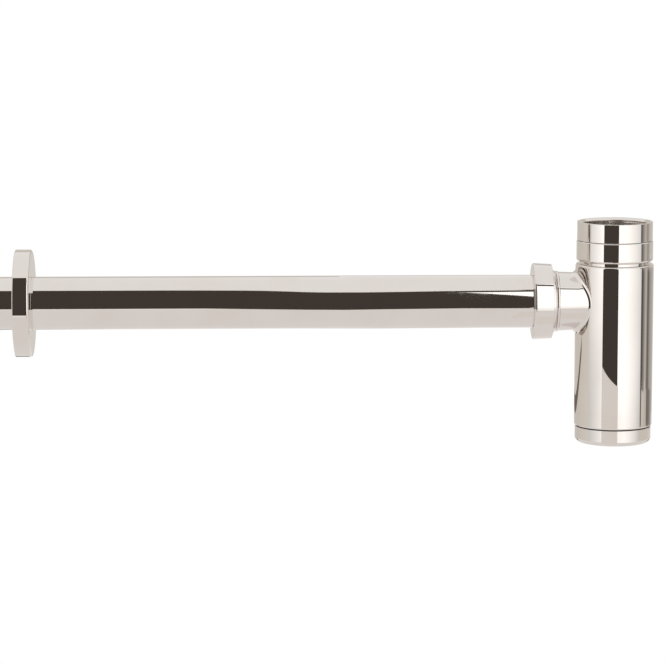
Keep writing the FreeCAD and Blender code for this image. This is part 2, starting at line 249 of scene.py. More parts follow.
@dataclass(frozen=True)
class Chrome:
    """Bright chrome plate on brass: mirror outside, duller where no polishing wheel reaches.

    Fields: name; axis and inside, the radius in mm about that axis within which the wall is an unpolished
    inside; under, the height in mm above which even the inside is polished; tint and warm, the two close
    tones of the plate, and clouds, where the second shows; polish and haze, the lowest roughness and how much
    it may rise, and film, where it does; wave, wave_scale, wave_detail and wave_strength, the depth in mm,
    the number to a metre, the detail and the share of the plate's faint waves. On the inside: bare, its tone,
    by default dull brass, while the inlet nut gives a pale tone there that is painted light; grain, its
    grain; bare_and_light_share and bare_and_light_grain, how much of that tone shows and how much the grain
    adds; dull and dull_grain, the roughness it adds and how much the grain adds; edge_in and edge_out, how
    far in mm within and past its radius it fades out.
    """

    slot: ClassVar[Slot] = Slot.CHROME
    name: str
    axis: Axis = Axis.BOTTLE
    inside: float = 0.0
    under: float = 500.0
    tint: Colour = (0.735, 0.690, 0.655)
    warm: Colour = (0.715, 0.665, 0.625)
    clouds: Patches = Patches(38.0, 3.0, 0.35, 0.70)
    polish: float = 0.028
    haze: float = 0.035
    film: Patches = Patches(95.0, 4.0, 0.52, 0.78)
    wave: float = 0.0012
    wave_scale: float = 60.0
    wave_detail: float = 1.0
    wave_strength: float = 0.5
    bare_and_painted_light_tone: Colour = (0.47, 0.40, 0.31)
    grain: Patches = Patches(240.0, 3.0, 0.3, 0.7)
    bare_and_light_share: float = 0.50
    bare_and_light_grain: float = 0.15
    dull: float = 0.16
    dull_grain: float = 0.08
    edge_in: float = 0.05
    edge_out: float = 0.25

    def material(self) -> bpy.types.Material:
        """Mixes the finish.

        Returns:
            Its material.
        """
        made, g = new_material(self.name)
        p = Pattern(g)
        colour = g.mix(self.clouds.mask(p), opaque(self.tint), opaque(self.warm))
        rough = self.polish + self.haze * self.film.mask(p)
        if self.inside:
            within = g.step(p.radius(self.axis), (self.inside + self.edge_out) * MM,
                            (self.inside - self.edge_in) * MM) * (p.z < self.under * MM)
            grain = self.grain.mask(p)
            # Inside, the plate's tone gives way to the inside tone: dull brass by default; the inlet nut's
            # pale tone there is painted light.
            colour = g.mix(within * (self.bare_and_light_share + self.bare_and_light_grain * grain), colour, opaque(self.bare_and_painted_light_tone))
            rough = rough + within * (self.dull + self.dull_grain * grain)
        waves = g.bump(p.noise(self.wave_scale, self.wave_detail), self.wave, self.wave_strength)
        g.show(g.node("ShaderNodeBsdfPrincipled", sockets={
            "Base Color": colour, "Metallic": 1.0, "Roughness": rough, "Normal": waves}))
        return made


@dataclass(frozen=True)
class Moulded:
    """What rubber and nylon share: two tones in soft clouds, and a fine grain.

    Fields: name; main and cloudy, the tones, and clouds, where the second shows; rough and rough_grain, the
    lowest roughness and how much the grain adds; grain_scale, grain_detail, grain_depth and grain_strength,
    the grains to a metre, their detail, their depth in mm and their share.
    """

    name: str
    main: Colour
    cloudy: Colour
    clouds: Patches
    rough: float
    rough_grain: float
    grain_scale: float
    grain_depth: float
    grain_strength: float
    grain_detail: float = 2.0

    def material(self) -> bpy.types.Material:
        """Mixes the finish.

        Returns:
            Its material.
        """
        made, g = new_material(self.name)
        p = Pattern(g)
        colour = g.mix(self.clouds.mask(p), opaque(self.main), opaque(self.cloudy))
        grain = p.noise(self.grain_scale, self.grain_detail)
        g.show(g.node("ShaderNodeBsdfPrincipled", sockets={
            "Base Color": colour, "Metallic": 0.0, "Roughness": self.rough + self.rough_grain * grain,
            "Normal": g.bump(grain, self.grain_depth, self.grain_strength)}))
        return made


@dataclass(frozen=True)
class Rubber(Moulded):
    """Black moulded rubber with a fine matt grain and a little bloom."""

    slot: ClassVar[Slot] = Slot.RUBBER
    main: Colour = (0.012, 0.012, 0.013)
    cloudy: Colour = (0.050, 0.050, 0.052)
    clouds: Patches = Patches(160.0, 4.0, 0.40, 0.75)
    rough: float = 0.58
    rough_grain: float = 0.22
    grain_scale: float = 2600.0
    grain_depth: float = 0.05
    grain_strength: float = 0.6


@dataclass(frozen=True)
class Nylon(Moulded):
    """Natural moulded nylon: warm white, faintly cloudy, half gloss."""

    slot: ClassVar[Slot] = Slot.NYLON
    main: Colour = (0.74, 0.72, 0.66)
    cloudy: Colour = (0.62, 0.59, 0.51)
    clouds: Patches = Patches(120.0, 3.0, 0.3, 0.8)
    rough: float = 0.34
    rough_grain: float = 0.18
    grain_scale: float = 900.0
    grain_depth: float = 0.03
    grain_strength: float = 0.4


Finish = Union[Chrome, Rubber, Nylon]


@dataclass(frozen=True)
class CardPaint:
    """A studio card's tone: the light that it sends back to the chrome.

    Fields: name, colour; strength, at the card's first upright edge; last, its strength at the other edge if
    it fades; hold, the share of the card before the fade; foot, the share of light left at its foot, which
    is lost between the heights foot_high and foot_low in metres.
    """

    name: str
    colour: Colour
    strength: float = 1.0
    last: Optional[float] = None
    hold: float = 0.0
    foot: float = 1.0
    foot_high: float = -0.22
    foot_low: float = -0.36

    def material(self) -> bpy.types.Material:
        """Mixes the tone.

        Returns:
            Its material.
        """
        made, g = new_material(self.name)
        level: Term = self.strength
        if self.last is not None:
            place = g.node("ShaderNodeTexCoord").outputs["UV"]
            along = g.node("ShaderNodeSeparateXYZ", sockets={"Vector": place}).outputs[0]
            fade = g.node("ShaderNodeMapRange", sockets={
                "Value": along, "From Min": self.hold, "From Max": 1.0,
                "To Min": self.strength, "To Max": self.last})
            level = Value(g, fade.outputs["Result"])
        if self.foot < 1.0:
            lit = g.step(Pattern(g).z, self.foot_low, self.foot_high)
            level = level * (self.foot + (1.0 - self.foot) * lit)
        g.show(g.node("ShaderNodeEmission", sockets={"Color": opaque(self.colour), "Strength": level}))
        return made


@dataclass
class Card:
    """A flat upright card in the studio, seen only in the chrome.

    Fields: name, paint; start and end, the (x, y) of its two upright edges in metres; low and high, its
    heights in the middle; lean, how far its upright edges go left per metre up; slope, how far its level
    edges go up per metre to the right.
    """

    name: str
    paint: CardPaint
    start: Point
    end: Point
    low: float
    high: float
    lean: float = 0.0
    slope: float = 0.0

    @classmethod
    def round_trap(cls, name: str, paint: CardPaint, first: float, last: float, low: float, high: float,
                   slope: float = 0.0, distance: float = 1.6) -> "Card":
        """Places a card by the compass.

        Args:
            name: its name.
            paint: its tone.
            first: the bearing of one upright edge from the bottle, in degrees from the front, right positive.
            last: the bearing of the other.
            low: its lower edge's height in metres.
            high: its upper edge's height.
            slope: how far its level edges go up per metre from the first edge to the last.
            distance: from the bottle, in metres.

        Returns:
            The card.
        """
        start, end = ((distance * math.sin(a), -distance * math.cos(a))
                      for a in (math.radians(first), math.radians(last)))
        return cls(name, paint, start, end, low, high, slope=slope)

    def build(self) -> bpy.types.Object:
        """Adds the card to the studio.

        Returns:
            The card's object.
        """
        (x0, y0), (x1, y1) = self.start, self.end
        along = Vector((x1 - x0, y1 - y0, 0.0))
        skew = Matrix.Identity(4)
        skew[0][1], skew[1][0] = -self.lean, self.slope
        card = add_plane(self.name)
        card.data.transform(Matrix.Translation(((x0 + x1) / 2, (y0 + y1) / 2, (self.low + self.high) / 2))
                            @ Matrix.Rotation(math.atan2(along.y, along.x), 4, "Z")
                            @ Matrix.Rotation(math.pi / 2, 4, "X") @ skew
                            @ Matrix.Diagonal((along.length, self.high - self.low, 1.0, 1.0)))
        show_in_chrome_only(card, self.paint)
        return card


@dataclass
class FloorStrip:
    """A strip of card that lies on the floor and points away from the bottle, seen only in the chrome.

    Fields: name, paint; bearing in degrees from the front, right positive; near and far, its ends' distances
    from the bottle, width and height, in metres.
    """

    name: str
    paint: CardPaint
    bearing: float
    near: float
    far: float
    width: float
    height: float

    def build(self) -> bpy.types.Object:
        """Adds the strip to the studio.

        Returns:
            The strip's object.
        """
        strip = add_plane(self.name)
        strip.data.transform(Matrix.Rotation(math.radians(self.bearing), 4, "Z")
                             @ Matrix.Translation((0.0, -(self.near + self.far) / 2, self.height))
                             @ Matrix.Diagonal((self.width, self.far - self.near, 1.0, 1.0)))
        show_in_chrome_only(strip, self.paint)
        return strip


@dataclass(frozen=True)
class ScreenRow:
    """Screens side by side round the trap, whose tones run into one another.

    Fields: low and high, their heights, and distance, from the bottle, in metres; screens, for each its name,
    the bearings of its two edges in degrees and the strengths at them.
    """

    low: float
    high: float
    distance: float
    screens: tuple[tuple[str, float, float, float, float], ...]

    def cards(self, colour: Colour) -> list[Card]:
        """Returns the row's cards, in tones of one colour."""
        return [Card.round_trap(f"screen_{name}", CardPaint(f"screen_{name}_tone", colour, tone, last_tone),
                                first, last, self.low, self.high, distance=self.distance)
                for name, first, last, tone, last_tone in self.screens]


def add_plane(name: str) -> bpy.types.Object:
    """Adds a plane of one metre at the origin.

    Args:
        name: its name.

    Returns:
        The plane.
    """
    clear_selection()
    bpy.ops.mesh.primitive_plane_add(size=1.0)
    bpy.context.object.name = name
    return bpy.context.object


def show_in_chrome_only(card: bpy.types.Object, paint: CardPaint) -> None:
    """Paints a studio card and hides it from all but reflections.

    Args:
        card: the card's object.
        paint: its tone.
    """
    card.data.materials.append(paint.material())
    card.visible_camera = card.visible_diffuse = card.visible_shadow = card.visible_volume_scatter = False


@dataclass
class Studio:
    """White room, pale floor, two soft boxes, a dark curtain behind the camera, screens and a fill card.

    Fields, in metres: floor_z and floor_size, the floor's height and width; floor_tone and floor_glow, its
    tone and the light that lifts it to white; room_light and room_seen, the room's light and what is added
    where the camera sees it; table_lift and strip_lift, how high the table and the strips lie on the floor;
    strip_near and strip_far, the strips' ends; curtain_y, where the curtain hangs; curtain_foot and
    curtain_full, its foot and the height up to which it is whole; hem, the (x, z) corners of its sagging
    upper edge, and hem_drop, the height of the strips under it; step and step_top, the (x, y) corners of the
    dark step on the floor before it and its height; box_low and box_high, the soft boxes' heights; header_y
    and header_split, where the dark header hangs and where its two parts meet; screen_colour and screens,
    the screens beside and behind the trap; and the paints.
    """

    floor_z: float = -0.52
    floor_size: float = 80.0
    floor_tone: Colour = (0.9, 0.9, 0.9)
    floor_glow: float = 0.15
    room_light: float = 0.95
    room_seen: float = 0.05
    table_lift: float = 0.005
    strip_lift: float = 0.01
    strip_near: float = 0.8
    strip_far: float = 2.2
    curtain_y: float = -1.46
    curtain_foot: float = -0.57
    curtain_full: float = 1.66
    hem: tuple[Point, ...] = (
        (-3.2, 2.85), (-0.582, 2.85), (-0.381, 2.79), (-0.313, 2.69), (-0.247, 2.55), (-0.210, 2.36),
        (-0.1855, 2.116), (-0.159, 1.846), (-0.133, 1.72), (-0.079, 1.70), (-0.021, 1.816), (0.043, 2.009),
        (0.104, 2.073), (0.167, 2.13), (3.2, 2.30))
    hem_drop: float = 1.3
    step: tuple[Point, ...] = (
        (-0.279, -1.455), (-0.212, -1.143), (-0.1735, -1.017), (-0.136, -0.952), (-0.095, -1.044),
        (-0.053, -1.11), (-0.0075, -1.20), (0.031, -1.16), (0.056, -1.16))
    step_top: float = -0.35
    box_low: float = -0.62
    box_high: float = 2.02
    header_y: float = -1.0
    header_split: float = 0.10
    screen_colour: Colour = (1.045, 1.0, 0.935)
    screens: tuple[ScreenRow, ...] = (
        ScreenRow(-0.22, 0.90, 1.60, (
            ("right_edge", 77.0, 84.5, 0.17, 0.17),
            ("right_fade", 84.5, 101.0, 0.17, 0.62),
            ("right_dip", 101.0, 111.5, 0.62, 0.36),
            ("right_rise", 111.5, 127.0, 0.36, 0.66))),
        ScreenRow(-0.22, 0.90, 1.75, (
            ("right_back", 126.5, 176.0, 0.66, 0.66),)),
        ScreenRow(-0.36, -0.21, 1.62, (
            ("low_edge", 77.0, 86.5, 0.115, 0.115),
            ("low_fade", 86.5, 101.5, 0.13, 0.63),
            ("low_dip", 101.5, 110.0, 0.63, 0.17),
            ("low_line", 110.0, 116.0, 0.17, 0.17),
            ("low_rise", 116.0, 128.0, 0.26, 0.46),
            ("low_back", 127.5, 150.0, 0.46, 0.56),
            ("low_far", 149.5, 172.0, 0.56, 0.68))),
        ScreenRow(-0.406, -0.35, 1.64, (
            ("foot_edge", 77.0, 85.5, 0.17, 0.17),
            ("foot_fade", 85.5, 108.5, 0.76, 0.58),
            ("foot_line", 108.5, 126.0, 0.20, 0.23),
            ("foot_back", 125.5, 148.0, 0.25, 0.55),
            ("foot_far", 147.5, 172.0, 0.55, 0.72))),
        ScreenRow(-0.515, -0.39, 1.68, (
            ("cap_side", 77.0, 104.0, 0.74, 0.74),
            ("cap_back", 103.5, 132.0, 0.74, 0.74))),
        ScreenRow(-0.515, -0.39, 1.72, (
            ("cap_far", 131.5, 172.0, 0.74, 0.85),)),
        ScreenRow(-0.515, 0.90, 1.75, (
            ("left_back", -80.0, -130.0, 0.80, 0.70),
            ("left_far", -129.5, -176.0, 0.70, 0.66))))
    right_box: CardPaint = CardPaint("soft_box_right_white", WHITE, 1.55, last=0.90, hold=0.30, foot=0.82,
                                     foot_high=-0.26, foot_low=-0.40)
    left_box: CardPaint = CardPaint("soft_box_left_white", WHITE, 0.97, last=1.52, foot=0.80)
    dark: CardPaint = CardPaint("camera_side_dark", (0.064, 0.053, 0.047))
    brown: CardPaint = CardPaint("flag_brown", (0.19, 0.15, 0.125))
    grey: CardPaint = CardPaint("flag_grey", (0.56, 0.52, 0.49))
    pale: CardPaint = CardPaint("flag_pale", (0.72, 0.68, 0.64))
    fill: CardPaint = CardPaint("fill_card_pale", (0.86, 0.83, 0.80))
    table: CardPaint = CardPaint("table_pale", (0.885, 0.865, 0.855))

    def side_screens(self) -> list[Card]:
        """Returns the screens beside and behind the trap."""
        return [card for row in self.screens for card in row.cards(self.screen_colour)]

    def curtain(self) -> list[Card]:
        """Hangs the dark curtain behind the camera.

        Returns:
            Its whole part, the strips under its hem and the step at its foot.
        """
        left_end, right_end = self.hem[0][0], self.hem[-1][0]
        strips = [Card("camera_side", self.dark, (left_end, self.curtain_y), (right_end, self.curtain_y),
                       self.curtain_foot, self.curtain_full)]
        for count, ((left, first), (right, last)) in enumerate(zip(self.hem, self.hem[1:])):
            middle = (first + last) / 2
            strips.append(Card(f"curtain_{count}", self.dark, (left, self.curtain_y), (right, self.curtain_y),
                               middle - self.hem_drop, middle, slope=(last - first) / (right - left)))
        for count, (start, end) in enumerate(zip(self.step, self.step[1:])):
            strips.append(Card(f"step_{count}", self.dark, start, end, self.curtain_foot, self.step_top))
        return strips

    def boxes_and_flags(self) -> list[Card]:
        """Returns the soft boxes, the dark header, the fill card and the flags behind the trap."""
        split = (self.header_split, self.header_y)
        return [
            Card("soft_box_right", self.right_box, start=(0.0880, -1.40), end=(1.422, -0.295),
                 low=self.box_low, high=self.box_high, lean=0.0694),
            Card("soft_box_left", self.left_box, start=(-1.4987, -0.184), end=(-1.1626, -1.4103),
                 low=self.box_low, high=self.box_high),
            Card("header_pipe", self.dark, start=(-0.02, self.header_y), end=split,
                 low=1.09, high=1.41, slope=1.16),
            Card("header", self.dark, start=split, end=(1.0, self.header_y), low=1.36, high=1.63),
            Card("fill_card", self.fill, start=(-0.05195, -0.07366), end=(0.00753, -0.07522),
                 low=-0.19, high=-0.0953, slope=-0.17),
            Card.round_trap("line_left", self.brown, first=-114.5, last=-173.5,
                            low=-0.346, high=-0.326, slope=-0.040),
            Card("back_side", self.grey, start=(-0.94, 2.2), end=(0.86, 2.2), low=-0.18, high=0.70),
            Card("back_low", self.pale, start=(-0.64, 2.25), end=(0.56, 2.25), low=-0.51, high=-0.18),
        ]

    def floor_strips(self) -> list[FloorStrip]:
        """Returns the pale table under the trap and the strips on the floor behind it."""
        on_floor = self.floor_z + self.strip_lift
        return [
            FloorStrip("table", self.table, bearing=0.0, near=-0.7, far=1.2, width=2.4,
                       height=self.floor_z + self.table_lift),
            FloorStrip("strip_back_right", self.dark, 140.5, self.strip_near, self.strip_far, 0.20, on_floor),
            FloorStrip("strip_back_left", self.dark, -147.5, self.strip_near, self.strip_far, 0.22, on_floor),
            FloorStrip("strip_back", self.grey, 184.5, self.strip_near, self.strip_far, 0.10, on_floor),
        ]

    def floor(self) -> bpy.types.Object:
        """Lays the pale floor, white where nothing shades it.

        Returns:
            The floor's object.
        """
        clear_selection()
        bpy.ops.mesh.primitive_plane_add(size=self.floor_size, location=(0.0, 0.0, self.floor_z))
        floor = bpy.context.object
        floor.name = "floor"
        paint, g = new_material("floor_pale")
        glow = self.floor_glow * self.seen_directly(g)
        shade = g.node("ShaderNodeBsdfDiffuse", sockets={"Color": opaque(self.floor_tone)})
        lift = g.node("ShaderNodeEmission", sockets={"Color": opaque(WHITE), "Strength": glow})
        g.show(g.node("ShaderNodeAddShader", sockets={0: shade.outputs[0], 1: lift.outputs[0]}))
        floor.data.materials.append(paint)
        return floor

    @staticmethod
    def seen_directly(g: Graph) -> Value:
        """Asks what a ray is for.

        Args:
            g: the graph that asks.

        Returns:
            1 for what the camera sees, also by way of metal or glass, and 0 for other light.
        """
        path = g.node("ShaderNodeLightPath").outputs
        rays = [Value(g, path[n]) for n in ("Is Camera Ray", "Is Glossy Ray", "Is Transmission Ray")]
        return g.math("MINIMUM", rays[0] + rays[1] + rays[2], 1.0)

    def world(self) -> None:
        """Makes the room's even white light."""
        room = bpy.data.worlds.new("white_room")
        room.use_nodes = True
        bpy.context.scene.world = room
        g = Graph(room.node_tree)
        level = self.room_light + self.room_seen * self.seen_directly(g)
        light = g.node("ShaderNodeBackground", sockets={"Color": opaque(WHITE), "Strength": level})
        g.node("ShaderNodeOutputWorld", sockets={"Surface": light.outputs[0]})

    def build(self) -> None:
        """Sets up the whole studio."""
        self.world()
        self.floor()
        for card in self.side_screens() + self.curtain() + self.boxes_and_flags() + self.floor_strips():
            card.build()
            LOG.info("studio: %s", card.name)


@dataclass
class Viewpoint:
    """The camera, as fitted to the photograph.

    Fields: place in metres; yaw, pitch and roll in degrees; focal and frame_width in pixels; sensor, its
    width in mm; clip, the nearest and farthest distance that it sees in metres.
    """

    place: tuple[float, float, float] = (-0.20770, -1.79183, 0.20209)
    yaw: float = 1.199
    pitch: float = 8.363
    roll: float = -0.070
    focal: float = 3000.0
    frame_width: float = 665.0
    sensor: float = 36.0
    clip: Point = (0.05, 200.0)

    def build(self) -> bpy.types.Object:
        """Adds the camera and makes it the scene's.

        Returns:
            The camera's object.
        """
        yaw, pitch, roll = (math.radians(a) for a in (self.yaw, self.pitch, self.roll))
        ahead = Vector((math.sin(yaw) * math.cos(pitch), math.cos(yaw) * math.cos(pitch), -math.sin(pitch)))
        right = Vector((math.cos(yaw), -math.sin(yaw), 0.0))
        up = right.cross(ahead)
        right, up = (math.cos(roll) * right + math.sin(roll) * up,
                     -math.sin(roll) * right + math.cos(roll) * up)
        clear_selection()
        bpy.ops.object.camera_add()
        camera = bpy.context.object
        camera.name = "camera"
        turned = Matrix((right, up, -ahead)).transposed().to_4x4()
        camera.matrix_world = Matrix.Translation(self.place) @ turned
        camera.data.sensor_width = self.sensor
        camera.data.lens = self.focal / self.frame_width * self.sensor
        camera.data.clip_start, camera.data.clip_end = self.clip
        bpy.context.scene.camera = camera
        return camera


def clear_selection() -> None:
    """Deselects everything."""
    bpy.ops.object.select_all(action="DESELECT")


def pick(piece: bpy.types.Object) -> None:
    """Selects one piece alone and makes it the active one.

    Args:
        piece: the piece.
    """
    clear_selection()
    piece.select_set(True)
    bpy.context.view_layer.objects.active = piece


def edit(piece: bpy.types.Object) -> None:
    """Opens one piece in edit mode with all of it selected.

    Args:
        piece: the piece.
    """
    pick(piece)
    bpy.ops.object.mode_set(mode="EDIT")
    bpy.ops.mesh.select_all(action="SELECT")


def join_corners() -> None:
    """Merges the edited piece's doubles and turns its faces outwards."""
    bpy.ops.mesh.select_all(action="SELECT")
    bpy.ops.mesh.remove_doubles(threshold=MERGE_DISTANCE)
    bpy.ops.mesh.normals_make_consistent(inside=False)


def close(sharp: float) -> None:
    """Joins the edited piece's corners, leaves edit mode and smooths it.

    Args:
        sharp: the angle in degrees past which an edge stays sharp.
    """
    join_corners()
    bpy.ops.object.mode_set(mode="OBJECT")
    bpy.ops.object.shade_smooth_by_angle(angle=math.radians(sharp))


def lay_along(piece: bpy.types.Object, axis: Axis) -> None:
    """Puts a piece that was made upright at the origin onto its axis, and its place into its mesh.

    Args:
        piece: the piece.
        axis: the axis that it was turned about.
    """
    if axis is Axis.OUTLET:
        level = Matrix.Rotation(-math.pi / 2, 4, "Y")
        piece.matrix_world = Matrix.Translation((0.0, 0.0, OUTLET_Z * MM)) @ level
    pick(piece)
    bpy.ops.object.transform_apply(location=True, rotation=True, scale=True)


def settle(piece: bpy.types.Object, body: str, finish: Finish) -> None:
    """Dresses a new piece and lets it ride on a body.

    Args:
        piece: the piece.
        body: the body's name.
        finish: the piece's finish.
    """
    piece.data.materials.clear()
    piece.data.materials.append(finish.material())
    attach(piece, body)
    LOG.info("built %s, %s", piece.name, finish.slot.value)


def dress(node: str, finish: Finish) -> None:
    """Gives a CAD node its finish.

    Args:
        node: the node's name.
        finish: its finish.
    """
    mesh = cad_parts[node].data
    mesh.materials.clear()
    mesh.materials.append(finish.material())
    LOG.info("dressed %s, %s", node, finish.slot.value)


@dataclass(frozen=True)
class Ridge:
    """A thread's section.

    Fields, in mm: pitch; foot_width and tip_width, along the axis; sunk, how deep its foot lies in the wall.
    """

    pitch: float
    foot_width: float
    tip_width: float
    sunk: float


class ThreadForm(Enum):
    """The kinds of thread on the trap: pipe threads, and the finer ones of the cap."""

    WASTE_NUT = Ridge(pitch=2.309, foot_width=1.92, tip_width=0.42, sunk=0.2)
    SPIGOT = Ridge(pitch=2.309, foot_width=1.90, tip_width=0.42, sunk=0.175)
    SPIGOT_NUT = Ridge(pitch=2.309, foot_width=1.80, tip_width=0.40, sunk=0.15)
    BOTTLE_FOOT = Ridge(pitch=1.5, foot_width=1.12, tip_width=0.26, sunk=0.1)
    CAP = Ridge(pitch=1.5, foot_width=1.16, tip_width=0.26, sunk=0.13)


@dataclass
class Thread:
    """One helical ridge of a right-handed screw thread, cut flush at both ends.

    Fields, in mm: name; body, which it rides on; axis; form; wall, the radius of the wall that it stands on;
    tip, the radius of its edge; low and high, where it begins and ends along its axis; phase, by how much of
    a pitch it is shifted; steps, the flats of a turn; spare, the turns wound past each end and cut off;
    polish and haze, its chrome's; sharp, the angle in degrees past which its edges stay sharp.
    """

    name: str
    body: str
    axis: Axis
    form: ThreadForm
    wall: float
    tip: float
    low: float
    high: float
    phase: float = 0.0
    steps: int = 72
    spare: int = 1
    polish: float = 0.20
    haze: float = 0.08
    sharp: float = 30.0

    def build(self) -> bpy.types.Object:
        """Models and dresses the thread.

        Returns:
            The finished piece.
        """
        thread = self.section()
        self.wind(thread)
        self.trim(thread)
        lay_along(thread, self.axis)
        settle(thread, self.body, Chrome(self.name + "_chrome", polish=self.polish, haze=self.haze))
        return thread

    def section(self) -> bpy.types.Object:
        """Draws the ridge's section at the foot of the helix.

        Returns:
            The section, a flat piece with four corners.
        """
        ridge, outside = self.form.value, self.tip > self.wall
        foot = self.wall - ridge.sunk if outside else self.wall + ridge.sunk
        start = (math.floor(self.low / ridge.pitch) - self.spare + self.phase) * ridge.pitch
        middle = ((foot + self.tip) / 2 * MM, 0.0, start * MM)
        clear_selection()
        bpy.ops.mesh.primitive_plane_add(size=MM, location=middle, rotation=(math.pi / 2, 0.0, 0.0))
        flat = bpy.context.object
        flat.name = self.name
        bpy.ops.object.transform_apply(location=True, rotation=True, scale=True)
        edit(flat)
        bpy.ops.transform.resize(value=(abs(self.tip - foot), 1.0, ridge.foot_width), center_override=middle)
        bpy.ops.object.mode_set(mode="OBJECT")
        for corner in flat.data.vertices:
            corner.select = (corner.co.x > middle[0]) == outside
        bpy.ops.object.mode_set(mode="EDIT")
        bpy.ops.transform.resize(value=(1.0, 1.0, ridge.tip_width / ridge.foot_width), center_override=middle)
        bpy.ops.object.mode_set(mode="OBJECT")
        return flat

    def wind(self, thread: bpy.types.Object) -> None:
        """Winds the section up into a helix that is longer than the thread.

        Args:
            thread: the section, which becomes the helix.
        """
        pitch = self.form.value.pitch
        screw = thread.modifiers.new("helix", "SCREW")
        screw.axis, screw.angle = "Z", math.tau
        screw.iterations = math.ceil((self.high - self.low) / pitch) + 2 * self.spare
        screw.screw_offset = pitch * MM
        screw.steps = screw.render_steps = self.steps
        bpy.ops.object.modifier_apply(modifier=screw.name)

    def trim(self, thread: bpy.types.Object) -> None:
        """Cuts the helix flush at both ends and closes it.

        Args:
            thread: the helix.
        """
        edit(thread)
        for height, outwards in ((self.low, -1.0), (self.high, 1.0)):
            bpy.ops.mesh.select_all(action="SELECT")
            bpy.ops.mesh.bisect(plane_co=(0.0, 0.0, height * MM), plane_no=(0.0, 0.0, outwards),
                                use_fill=True, clear_outer=True, threshold=CUT_DISTANCE)
        close(self.sharp)


@dataclass
class Turning:
    """A ring, nut or flange turned from bar, with its edges eased.

    Fields, in mm: name; body, which it rides on; axis; outline, the (radius, height) corners of its section,
    in order round it; ease, the rounding of its edges; finish; stands_for, the CAD node that it replaces;
    sides, the flats of its turn; ease_steps, the flats of an eased edge; corner, the angle in degrees past
    which an edge is eased; sharp, the angle past which an edge stays sharp after that.
    """

    name: str
    body: str
    axis: Axis
    outline: tuple[Point, ...]
    ease: float
    finish: Chrome
    stands_for: Optional[str] = None
    sides: int = 160
    ease_steps: int = 3
    corner: float = 25.0
    sharp: float = 40.0

    def build(self) -> bpy.types.Object:
        """Models and dresses the piece.

        Returns:
            The finished piece.
        """
        piece = self.draw_rings()
        self.ease_edges(piece)
        lay_along(piece, self.axis)
        settle(piece, self.body, self.finish)
        if self.stands_for:
            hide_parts(self.stands_for)
        return piece

    def draw_rings(self) -> bpy.types.Object:
        """Draws a ring through each corner of the outline, each extruded from the one before it.

        Returns:
            The piece, open in edit mode.
        """
        radius, height = self.outline[0]
        clear_selection()
        bpy.ops.mesh.primitive_circle_add(vertices=self.sides, radius=radius * MM,
                                          location=(0.0, 0.0, height * MM))
        piece = bpy.context.object
        piece.name = self.name
        bpy.ops.object.transform_apply(location=True, rotation=True, scale=True)
        edit(piece)
        for wider, higher in self.outline[1:] + self.outline[:1]:
            rise = (0.0, 0.0, (higher - height) * MM)
            bpy.ops.mesh.extrude_edges_move(TRANSFORM_OT_translate={"value": rise})
            grow = wider / radius
            bpy.ops.transform.resize(value=(grow, grow, 1.0), center_override=(0.0, 0.0, higher * MM))
            radius, height = wider, higher
        return piece

    def ease_edges(self, piece: bpy.types.Object) -> None:
        """Eases the edges of the piece and closes it.

        Args:
            piece: the piece, open in edit mode.
        """
        join_corners()
        bpy.ops.mesh.select_all(action="DESELECT")
        bpy.ops.mesh.edges_select_sharp(sharpness=math.radians(self.corner))
        bpy.ops.mesh.bevel(offset=self.ease * MM, segments=self.ease_steps, affect="EDGES")
        close(self.sharp)
        even = piece.modifiers.new("even_faces", "WEIGHTED_NORMAL")
        even.keep_sharp = True
        bpy.ops.object.modifier_apply(modifier=even.name)


@dataclass
class InletCoupling:
    """The free inlet nut, the washer in it and the tube that dips into the water.

    Fields, in mm: nut_radius; nut_half, half the nut's height; nut_ease, of its edges; hole and lip, the
    tube's hole and the lip round it; relief and groove, the bore's radii below the thread and along it;
    crest, the thread's edge; mouth, the wide mouth's chamfer; undercut, the slope under the mouth; play,
    between the lip and the tube's flange; thread_low, where the thread begins; thread_end, how far under the
    mouth it ends; thread_polish and inside_painted_light_tone, the looks of the inside: the thread's
    roughness, and a pale tone on the inside that is painted light; tube_inside, the tube's bore.
    """

    nut_radius: float = 22.7
    nut_half: float = 5.6
    nut_ease: float = 0.22
    hole: float = 16.3
    lip: float = 2.0
    relief: float = 20.375
    groove: float = 20.95
    crest: float = 19.50
    mouth: float = 1.5
    undercut: float = 0.6
    play: float = 0.03
    thread_low: float = 0.3
    thread_end: float = 1.4
    thread_polish: float = 0.38
    inside_painted_light_tone: Colour = (0.90, 0.85, 0.79)
    tube_inside: float = 15.5

    def nut(self) -> Turning:
        """Draws the nut with its wide mouth and its thread's plain bore.

        Returns:
            The nut.
        """
        top, shelf = self.nut_half, self.lip - self.nut_half - self.play
        neck = top - self.mouth
        outline = (
            (self.hole, -top), (self.nut_radius, -top), (self.nut_radius, top),
            (self.crest + self.mouth, top), (self.crest, neck), (self.groove, neck - self.undercut),
            (self.groove, 0.0), (self.relief, 0.0), (self.relief, shelf), (self.hole, shelf))
        # The nut's unpolished inside takes a pale tone that is painted light.
        finish = Chrome("inlet_nut_chrome", inside=self.groove + INSIDE_MARGIN, under=neck,
                        bare_and_painted_light_tone=self.inside_painted_light_tone)
        return Turning("inlet_nut_turned", "inlet_nut", Axis.BOTTLE, outline, self.nut_ease, finish,
                       "inlet_nut")

    def thread(self) -> Thread:
        """Returns the nut's inner thread."""
        high = self.nut_half - self.mouth - self.thread_end
        return Thread("inlet_nut_thread", "inlet_nut", Axis.BOTTLE, ThreadForm.WASTE_NUT, self.groove,
                      self.crest, self.thread_low, high, polish=self.thread_polish)

    def build(self) -> None:
        """Builds and dresses the coupling."""
        dress("inlet_washer", Rubber("inlet_washer_rubber"))
        dress("inlet_tube", Chrome("inlet_tube_chrome", inside=self.tube_inside))
        self.nut().build()
        self.thread().build()


